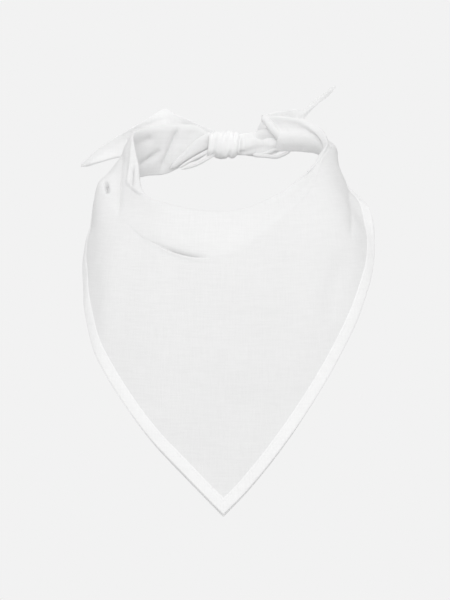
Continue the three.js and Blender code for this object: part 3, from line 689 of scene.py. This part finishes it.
# Stitches: short raised dashes on one row of the profile, with the cloth drawn in a little along them
stitch = {
    "length": 2.1,
    "every": 3.1,
    "radius": 0.17,
    "row": 4,
    "proud": 0.02,
    "pucker": 0.1,  # mm, and how far it reaches to each side
    "puckerReach": 2.4,
    "puckers": 900 / 3.1,  # radians of its waves for each radian of turn
}
hemTurns = stops((-160, 160), (-60, 130), (-8, 60), (4, 130), (60, 200), (bandTo, 0))
hemTurns[np.abs(hemTurns - cloth["tipTurn"]).argmin()] = cloth["tipTurn"]
fromEdge = hemProfile["fromEdge"][None, :]
hemInner = 1 - hemShareAt(hemTurns, cloth["hemWidth"])[:, None]
hemPoints, hemNormals = clothSurface(hemTurns, ribToShare(1 - hemInner * fromEdge / cloth["hemWidth"]))
fromStitches = (fromEdge - hemProfile["fromEdge"][stitch["row"]]) / stitch["puckerReach"]
pucker = stitch["pucker"] * np.sin(np.radians(hemTurns)[:, None] * stitch["puckers"])
hemPoints = hemPoints + hemNormals * (pucker * np.exp(-(fromStitches ** 2)))[..., None]
hem = wallObject(
    "hem", hemPoints, hemProfile["thick"][None, :] * cloth["hemWall"], clothUv(hemTurns, hemPoints),
    hemCotton,
)
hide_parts("hem_left", "hem_right")
print("hem made")


# Dashes along a line: each a small ellipsoid laid along the line's direction, standing on the cloth. They
# come as rings of points, (number of dashes, 5 along, 6 round, 3).
def dashes(line, normal, lift):
    run = np.concatenate([[0], np.cumsum(np.linalg.norm(np.diff(line, axis=0), axis=1))])
    at = np.arange(stitch["every"], run[-1] - stitch["every"], stitch["every"])

    def read(values, places):
        return np.stack([np.interp(places, run, values[:, k]) for k in range(3)], axis=1)

    centre = read(line, at)
    ahead = unit(read(line, at + 0.5) - centre)
    side = unit(np.cross(ahead, read(normal, at)))
    up = np.cross(side, ahead)
    centre = centre + up * lift
    lengthwise = np.array([-1, -0.75, 0, 0.75, 1])
    girth = np.array([0.15, 0.75, 1, 0.75, 0.15])
    angle = circle(6)
    template = stacked(
        lengthwise[:, None] * stitch["length"] / 2,
        girth[:, None] * np.cos(angle) * stitch["radius"],
        girth[:, None] * np.sin(angle) * stitch["radius"],
    )
    return (
        centre[:, None, None]
        + template[None, ..., :1] * ahead[:, None, None]
        + template[None, ..., 1:2] * side[:, None, None]
        + template[None, ..., 2:] * up[:, None, None]
    )


# All dashes as one mesh, each closed by two quads across each end.
def dashObject(name, rings, material):
    count, long, around = rings.shape[:3]
    ends = np.array([[0, 1, 2, 3], [0, 3, 4, 5]])
    one = np.concatenate([ringQuads(long, around), ends, (long - 1) * around + ends[:, ::-1]])
    if outward(rings[0], one) is not one:
        one = one[:, ::-1]
    quads = (np.arange(count) * long * around)[:, None, None] + one[None]
    vertices = rings.reshape(-1, 3)
    return makeObject(name, vertices, quads.reshape(-1, 4), vertices[:, :2] * mm, material)


row = stitch["row"]
lift = hemProfile["thick"][row] * cloth["hemWall"] / 2 + stitch["proud"]
stitchRings = dashes(hemPoints[:, row], hemNormals[:, row], lift)
dashObject("hem_stitches", stitchRings, hemCotton)
print("stitches made", len(stitchRings))

# Under layer: the back of the folded square. It leaves the foot of the neck edge, runs below the collar and
# hangs a little behind the front layer, with a hem of its own.
under = {
    "top": 0.05,  # share of the rib above its upper edge
    "rowsAbove": 12,
    "rows": 60,
    "sag": 1.5,
    "hemLift": 0.5,
    "foot": (2.0, 1.0),  # where it leaves the neck edge, out and up from the edge's own foot
}
# Its soft folds
underFolds = foldTable(
    (-88, -30, -30, -190, 8.0, 9.0, 2.4, 0), (84, -30, 20, -200, -6.0, 8.0, 2.6, 0),
    (50, -15, 66, -110, -5.0, 9.0, 1.8, 0), (-20, -60, 12, -170, 5.0, 11.0, 1.6, 0),
)


# The under layer at places given by their distance in mm from its edge: the front layer's own surface,
# moved back by the space between them, its own folds and a lift.
def underSurface(turn, fromEdge, lift):
    sections = sectionsAt(turn)
    length, show = ribLength(sections)[:, None], sections["show"][:, None]
    points, normals = clothSurface(turn, ribToShare(1 + (show - fromEdge) / length))
    clear = smoothStep(cloth["hemWidth"], cloth["hemWidth"] * 3, fromEdge)
    inset = cloth["layerSpace"] + (cloth["wall"] + cloth["hemWall"]) / 2 + lift
    return points - normals * (inset + pressedBy(points, underFolds) * clear)[..., None], normals


underTurns = stops((cloth["leftSplit"], 117), (cloth["tipTurn"], 122), (cloth["rightSplit"], 0))
underSections = sectionsAt(underTurns)
underLength = ribLength(underSections) * (1 - under["top"]) + underSections["show"]
rows = np.linspace(0, 1, gridCount(under["rows"]))
underPoints, _ = underSurface(underTurns, 1 + (underLength[:, None] - 1) * (1 - rows), 0)
# Above its top a slack stretch runs from the neck edge's foot
footOut, footUp = under["foot"]
foot = shift(underSections["rim"], footOut, footUp - cloth["lipDepth"])[:, None]
foot = inSpace(underTurns[:, None], foot)
share = np.linspace(0, 1, under["rowsAbove"])[:-1][None, :, None]
above = foot * (1 - share) + underPoints[:, :1] * share
above[..., 2] -= under["sag"] * np.sin(math.pi * share[..., 0])
underPoints = np.concatenate([above, underPoints], axis=1)
underLayer = wallObject(
    "under_layer_cloth", underPoints, cloth["wall"], clothUv(underTurns, underPoints),
    frontCotton,
)
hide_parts("under_layer")
underHemPoints, underHemNormals = underSurface(underTurns, fromEdge, under["hemLift"])
underHemWall = cloth["wall"] + 2 * under["hemLift"]
wallObject(
    "under_hem", underHemPoints, hemProfile["thick"][None, :] * underHemWall,
    clothUv(underTurns, underHemPoints), hemCotton,
)
lift = hemProfile["thick"][row] * underHemWall / 2 + stitch["proud"]
underStitches = dashes(underHemPoints[:, row], -underHemNormals[:, row], lift)
dashObject("under_stitches", underStitches, hemCotton)
print("under layer made")

# Knot: a barrel across the neck, its girth pinched by the wraps, with slanted wrinkles over its face
knot = {
    "width": 29.0,
    "height": 26.0,
    "depth": 23.0,
    "middle": (-3.6, 71.45, 36.0),
    "count": 110,  # rings, and points round each
    "around": 120,
    "square": 0.75,  # less is squarer
    "lean": 1.2,
    "halfAcross": 14.0,  # mm, the face laid flat, for its UV and unevenness
    "radius": 12.0,
    "uneven": 0.75,
    "unevenLength": 26.0,
}
knotGirth = makeTable(
    "across girth",
    (-1, 0.76), (-0.9, 0.9), (-0.6, 0.97), (-0.3, 0.93), (0, 0.96), (0.3, 0.99), (0.6, 0.96),
    (0.8, 0.88), (1, 0.72),
)
# Wrinkles over the top where side is 1, under the bottom where it is -1, and all round where it is 0
knotWrinkles = makeTable(
    "across slant width depth side",
    (-0.84, 0.1, 0.08, 0.9, 1), (-0.12, 0.12, 0.09, 1.5, 1), (0.66, -0.1, 0.08, 2.4, 1),
    (-0.45, 0.2, 0.13, 2.0, -1), (0.46, 0.15, 0.12, 2.0, -1), (-0.5, 0.2, 0.1, 0.6, 0),
    (0.2, 0.15, 0.1, 0.6, 0), (0.9, 0.05, 0.08, 1.0, 0),
)


# Rings of points round a row of middles, each a circle whose sine and cosine are raised to a power below
# one, scaled to the depth and height there. Returns the rings and their angles.
def lumpRings(middle, depth, height, lean, count, power):
    angle = circle(count)[None, :]

    def squared(value):
        return np.sign(value) * np.abs(value) ** power

    x = middle[:, :1] + lean * np.sin(angle)
    y = middle[:, 1:2] + squared(np.cos(angle)) * depth[:, None] / 2
    z = middle[:, 2:] + squared(np.sin(angle)) * height[:, None] / 2
    return stacked(x, y, z), angle


# Rings pressed towards their own middles.
def pressIn(rings, middle, depth):
    return rings + unit(middle[:, None] - rings) * depth[..., None]


acrossKnot = np.linspace(-1, 1, gridCount(knot["count"]))
girth = np.interp(acrossKnot, knotGirth["across"], knotGirth["girth"])
kernel = np.exp(-np.linspace(-2, 2, 9) ** 2)  # to round the table's corners
girth = np.convolve(np.pad(girth, 4, mode="edge"), kernel / kernel.sum(), mode="valid")
knotMiddle = np.array(knot["middle"]) + stacked(acrossKnot * knot["width"] / 2, 0.0, 0.0)
knotRings, knotAngle = lumpRings(
    knotMiddle, knot["depth"] * girth, knot["height"] * girth, knot["lean"], knot["around"], knot["square"]
)
knotPress = np.zeros(knotRings.shape[:2])
for middle, slant, width, depth, side in np.stack(list(knotWrinkles.values()), axis=1):
    reach = 1.0 if side == 0 else smoothStep(-0.1, 0.9, side * np.sin(knotAngle))
    off = (acrossKnot[:, None] - middle - slant * np.sin(knotAngle)) / width
    knotPress += depth * reach * np.exp(-(off ** 2))
knotFlat = stacked(acrossKnot[:, None] * knot["halfAcross"], knotAngle * knot["radius"])
knotPress -= unevenness(knotFlat[..., 0], knotFlat[..., 1], knot["uneven"], knot["unevenLength"], 21)
knotRings = pressIn(knotRings, knotMiddle, knotPress)
knotPiece = lumpObject("knot_wrap", knotRings, knotFlat * mm, knotCotton)
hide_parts("knot")

# Strand from the knot into the right band, with lengthwise ridges that twist
strand = {
    "length": 42.5,
    "start": 9.5,
    "lift": 36.6,
    "count": 110,  # rings, and points round each
    "around": 64,
    "square": 0.8,
    "ridges": 5,
    "ridgeHeight": 0.55,
    "twist": 4.0,
    "radius": 8.0,  # for its UV and unevenness
    "uneven": 0.7,
    "unevenLength": 18.0,
}
strandTable = makeTable(
    "across out height depth up",
    (0, 0.742, 0.72, 0.4, 0), (0.12, 0.75, 0.78, 0.48, 0.5), (0.26, 0.785, 0.76, 0.4, 1),
    (0.38, 0.82, 0.76, 0.3, 1.5), (0.52, 0.843, 0.8, 0.22, 1.5), (0.66, 0.855, 0.74, 0.18, 0),
    (0.8, 0.862, 0.54, 0.15, -1), (0.92, 0.868, 0.3, 0.1, -1.2), (1, 0.87, 0.14, 0.07, -1),
)
acrossStrand = np.linspace(0, 1, gridCount(strand["count"]))
strandX = strand["start"] + acrossStrand * strand["length"]
strandOut, strandHeight, strandDepth, strandUp = (
    np.interp(acrossStrand, strandTable["across"], strandTable[k]) for k in ("out", "height", "depth", "up")
)
strandBack = np.sqrt((strandOut * cloth["ridgeReach"]) ** 2 - strandX ** 2)
strandMiddle = stacked(strandX, strandBack, strand["lift"] + strandUp)
strandRings, strandAngle = lumpRings(
    strandMiddle, strandDepth * knot["depth"], strandHeight * knot["height"], 0, strand["around"],
    strand["square"],
)
strandFlat = stacked(strandX[:, None], strandAngle * strand["radius"])
twisted = strandAngle * strand["ridges"] + acrossStrand[:, None] * strand["twist"]
strandPress = strand["ridgeHeight"] * np.sin(twisted) + unevenness(
    strandFlat[..., 0] * 0.5, strandFlat[..., 1], strand["uneven"], strand["unevenLength"], 33
)
strandRings = pressIn(strandRings, strandMiddle, strandPress)
strandPiece = lumpObject("knot_strand_cloth", strandRings, strandFlat * mm, knotCotton)
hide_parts("knot_strand")
print("knot and strand made")

# Loose folds beside the knot: the big one that wraps into it, small ones below, and the right band's rolled
# end. Each has its radius, its depth over its height, its far end's radius as a share, and its line.
looseFolds = {
    "wrap": (
        8.8, 0.5, 0.22,
        [
            (-13, 70, 41.4), (-18.5, 69.4, 39.6), (-27.6, 68, 34.4),
            (-34.8, 66.8, 28.6), (-44, 65, 21.6), (-53, 62.6, 14.6),
        ],
    ),
    "fan": (6.5, 0.5, 0.8, [(14, 74, 36), (22, 73, 39), (30.5, 72.6, 44), (39, 72, 46), (47, 70.5, 43)]),
    "upper": (
        2.4, 0.7, 0.5,
        [(-8, 67, 33), (-14, 65.6, 31.8), (-23, 64, 27.8), (-34.8, 62.4, 21.4), (-45, 60.5, 15)],
    ),
    "lower": (
        2.3, 0.7, 0.4,
        [(-9, 68, 29), (-13, 66.4, 28), (-19.4, 64.6, 23.4), (-29.4, 63, 17.8), (-43, 61, 13.8)],
    ),
    "edge": (
        3.8, 0.9, 0.9,
        [(30.6, 71, 62), (36.6, 69, 55), (42.4, 66.4, 47.8), (48.6, 64, 41), (53, 62.6, 35)],
    ),
    "right": (1.9, 0.7, 0.5, [(24, 69, 27), (33, 67, 28), (43, 66, 32.2), (52, 64.6, 36.8)]),
    "rightLower": (2.2, 0.7, 0.6, [(22, 69, 27), (34, 66.8, 26), (45, 65.8, 25.4), (56.5, 63.4, 30.5)]),
}
tube = {"steps": 80, "around": 28, "closing": 0.12, "wave": 0.05}


# Tube round a smooth line through places, thinner towards the far end and closing at both.
def tubeRings(radius, flat, farShare, line):
    line = np.array(line, dtype=float)
    at = np.linspace(0, len(line) - 1, tube["steps"])
    i = np.minimum(at.astype(int), len(line) - 2)
    t = (at - i)[:, None]
    middle = curveAt(*(line[np.clip(i + k, 0, len(line) - 1)] for k in (-1, 0, 1, 2)), t)
    ahead = unit(np.gradient(middle, axis=0))
    side = unit(np.cross(ahead, [0, 1, 0]))
    up = np.cross(side, ahead)
    angle = circle(tube["around"])[None, :, None]
    share = np.linspace(0, 1, tube["steps"])
    closing = np.sin(math.pi * np.clip(np.minimum(share, 1 - share) / tube["closing"], 0.08, 1) / 2)
    size = (radius * (1 + (farShare - 1) * share) * closing)[:, None, None]
    wave = 1 + tube["wave"] * np.sin(3 * angle + np.arange(tube["steps"])[:, None, None] * 0.1)
    return middle[:, None] + wave * size * (
        side[:, None] * np.cos(angle) + up[:, None] * np.sin(angle) * flat
    )


for name, fold in looseFolds.items():
    rings = tubeRings(*fold)
    lumpObject("fold_" + name, rings, stacked(rings[..., 0], rings[..., 2]) * mm, looseCotton)
print("loose folds made")

# Tails behind the bands
tails = {
    "reach": 134.0,
    "rise": 90.0,
    "hem": 6.0,
    "hemExtra": 0.25,  # how much thicker the hem is
    "lean": 9.0,  # how far the foot stands in front of the top
    "wide": 25.0,  # width from which a tail has its whole lean and unevenness
    "uneven": 0.5,
    "unevenLength": 34.0,
}
# Sections of the tails: their turn is how far out they lie, in percent of the reach
tailTableLeft = makeTable(
    "turn back top foot bow",
    (5, 0.882, 0.52, 0.33, 0), (18, 0.94, 0.593, 0.31, 0.5), (29, 0.97, 0.665, 0.33, 0.9),
    (36, 0.985, 0.705, 0.34, 0.4), (43.4, 1.0, 0.765, 0.35, -0.6), (57, 0.97, 0.65, 0.31, 0.5),
    (66.6, 0.925, 0.568, 0.285, 0.7), (77.5, 0.87, 0.472, 0.262, 0.5), (87.3, 0.82, 0.377, 0.22, 0.3),
    (94.8, 0.78, 0.28, 0.185, 0.1), (100, 0.74, 0.205, 0.178, 0),
)
tailTableRight = makeTable(
    "turn back top foot bow",
    (2, 0.885, 0.48, 0.32, 0), (17, 0.96, 0.5, 0.28, 0.3), (24.8, 0.98, 0.685, 0.28, 0.5),
    (36, 1.01, 0.74, 0.34, 0.8), (45, 1.01, 0.757, 0.46, 0.5), (51.8, 1.0, 0.765, 0.655, 0.1),
    (56.5, 0.99, 0.82, 0.74, 0.1), (62, 0.98, 0.885, 0.82, 0.1), (69, 0.96, 0.965, 0.9, 0.05),
    (73, 0.95, 1.0, 0.975, 0),
)
# Folds of the tails: steps where one layer lies over another, and creases
tailFolds = foldTable(
    (-50, 62, -95, 47, 2.0, 12.0, -0.7, 2), (-58, 66, -50, 52, 0.0, 2.5, 0.8, 1),
    (-100, 38, -66, 46, 0.0, 5.0, 0.4, 0), (48, 66, 76, 40, 0.0, 6.0, 0.8, 0),
    (-98, 24.4, -134, 14.4, 0.0, 1.5, 2.2, 0), (66, 56, 99, 86, 0.0, 2.6, 3.2, 0),
)
for name, table, side, seed in (
    ("tail_left", tailTableLeft, -1, 41),
    ("tail_right", tailTableRight, 1, 43),
):
    percent = np.linspace(table["turn"][0], table["turn"][-1], gridCount(170))
    share = np.linspace(0, 1, gridCount(30))[None, :]
    top, foot, back, bow = (along(table, k, percent)[:, None] for k in ("top", "foot", "back", "bow"))
    x = side * tails["reach"] * percent[:, None] / 100
    z = tails["rise"] * (top + (foot - top) * share)
    y = back * cloth["ridgeReach"] + bow * cloth["ridgeRoll"] * np.sin(math.pi * share)
    wide = smoothStep(0, tails["wide"], (top - foot) * tails["rise"])
    y = y - tails["lean"] * (share - 0.5) * wide
    points = stacked(x, y, z)
    uneven = unevenness(x, z, tails["uneven"], tails["unevenLength"], seed)
    points[..., 1] -= uneven * wide - pressedBy(points, tailFolds)
    fromTop = (top - foot) * tails["rise"] * share
    inHem = 1 - smoothStep(tails["hem"] - 0.6, tails["hem"], fromTop)
    made = wallObject(
        name + "_cloth", points, cloth["wall"] + tails["hemExtra"] * inHem,
        stacked(x, z) * mm, tailCotton,
    )
    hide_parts(name)
print("tails made")

# Stage: a wide pale bowl, flat below and turned up far off, so that every side has the same ground
stage = {"floor": -0.36, "flat": 3.0, "rim": 4.0, "wall": 2.6, "around": 96, "glow": 0.888, "paint": 0.0}
rise = np.linspace(0, math.pi / 2, 24)
bend = stage["rim"] - stage["flat"]
radius = np.concatenate([[0.00001, 1.0, 2.0], stage["flat"] + bend * np.sin(rise), [stage["rim"]]])
level = stage["floor"] + np.concatenate([[0, 0, 0], bend * (1 - np.cos(rise)), [stage["wall"]]])
angle = circle(stage["around"])
bowlPoints = stacked(radius[:, None] * np.cos(angle), radius[:, None] * np.sin(angle), level[:, None])
bowlQuads = ringQuads(len(radius), stage["around"])[:, ::-1]
bowlMesh = bpy.data.meshes.new("ground")
bowlMesh.from_pydata(bowlPoints.reshape(-1, 3).tolist(), [], bowlQuads.tolist())
bowlMesh.polygons.foreach_set("use_smooth", np.ones(len(bowlMesh.polygons), dtype=bool))
ground = addObject("ground", bowlMesh)
paint = bpy.data.materials.new("groundPaint")
paint.use_nodes = True
paintShader = paint.node_tree.nodes["Principled BSDF"]
paintShader.inputs["Base Color"].default_value = (stage["paint"],) * 3 + (1,)
paintShader.inputs["Roughness"].default_value = 0.95
paintShader.inputs["Specular IOR Level"].default_value = 0.0
paintShader.inputs["Emission Color"].default_value = (1, 1, 1, 1)
paintShader.inputs["Emission Strength"].default_value = stage["glow"]
bowlMesh.materials.append(paint)
# The glow is for the camera alone: the cloth is lit by the sky and the lamps
ground.visible_diffuse = ground.visible_glossy = False

# Lights: a bright sky all round and two broad lamps, one above and in front, one behind and a little below
light = {
    "sky": 0.7,
    "skyUp": 0.35,  # how much brighter the sky is overhead, and how much darker underfoot
    "skyFront": 0.37,  # how much brighter it is in front, and how much darker behind
    "frontPower": 3.9,
    "frontAt": (0, -1.7, 0.6),
    "backPower": 15.0,
    "backAt": (0, 1.7, -0.2),
    "lampSize": 1.2,
    "lampTo": (0, 0, -0.05),
}
world = bpy.data.worlds.new("sky")
bpy.context.scene.world = world
world.use_nodes = True
# Strength: the sky's own, plus each share times how far the direction looked in points up or forward
direction = Out(world.node_tree).node("ShaderNodeTexCoord")
strength = direction.part(2) * light["skyUp"] - direction.part(1) * light["skyFront"] + light["sky"]
background = world.node_tree.nodes["Background"]
background.inputs["Color"].default_value = (1, 1, 1, 1)
world.node_tree.links.new(strength.socket, background.inputs["Strength"])


def lookAt(thing, place, target):
    thing.location = place
    thing.rotation_euler = (Vector(target) - Vector(place)).to_track_quat("-Z", "Y").to_euler()


for name in ("front", "back"):
    lampData = bpy.data.lights.new(name + "Lamp", "AREA")
    lampData.energy = light[name + "Power"]
    lampData.shape = "DISK"
    lampData.size = light["lampSize"]
    lookAt(addObject(name + "Lamp", lampData), light[name + "At"], light["lampTo"])

# Camera: in front of the cloth, looking a few degrees down on its middle
view = {
    "distance": 1.8,
    "down": 5.0,
    "target": (-0.0031, 0.0, -0.0994),
    "perPixel": 0.88,  # mm at the target
    "pixels": 600,  # height of the picture
    "sensor": 36,
}
cameraData = bpy.data.cameras.new("camera")
cameraData.sensor_width = view["sensor"]
cameraData.lens = view["sensor"] / view["pixels"] * view["distance"] * 1000 / view["perPixel"]
camera = addObject("camera", cameraData)
down = math.radians(view["down"])
place = (
    view["target"][0],
    view["target"][1] - view["distance"] * math.cos(down),
    view["target"][2] + view["distance"] * math.sin(down),
)
lookAt(camera, place, view["target"])
bpy.context.scene.camera = camera
bpy.context.scene.view_settings.view_transform = "Standard"
bpy.context.scene.view_settings.look = "None"

print("scene ready")
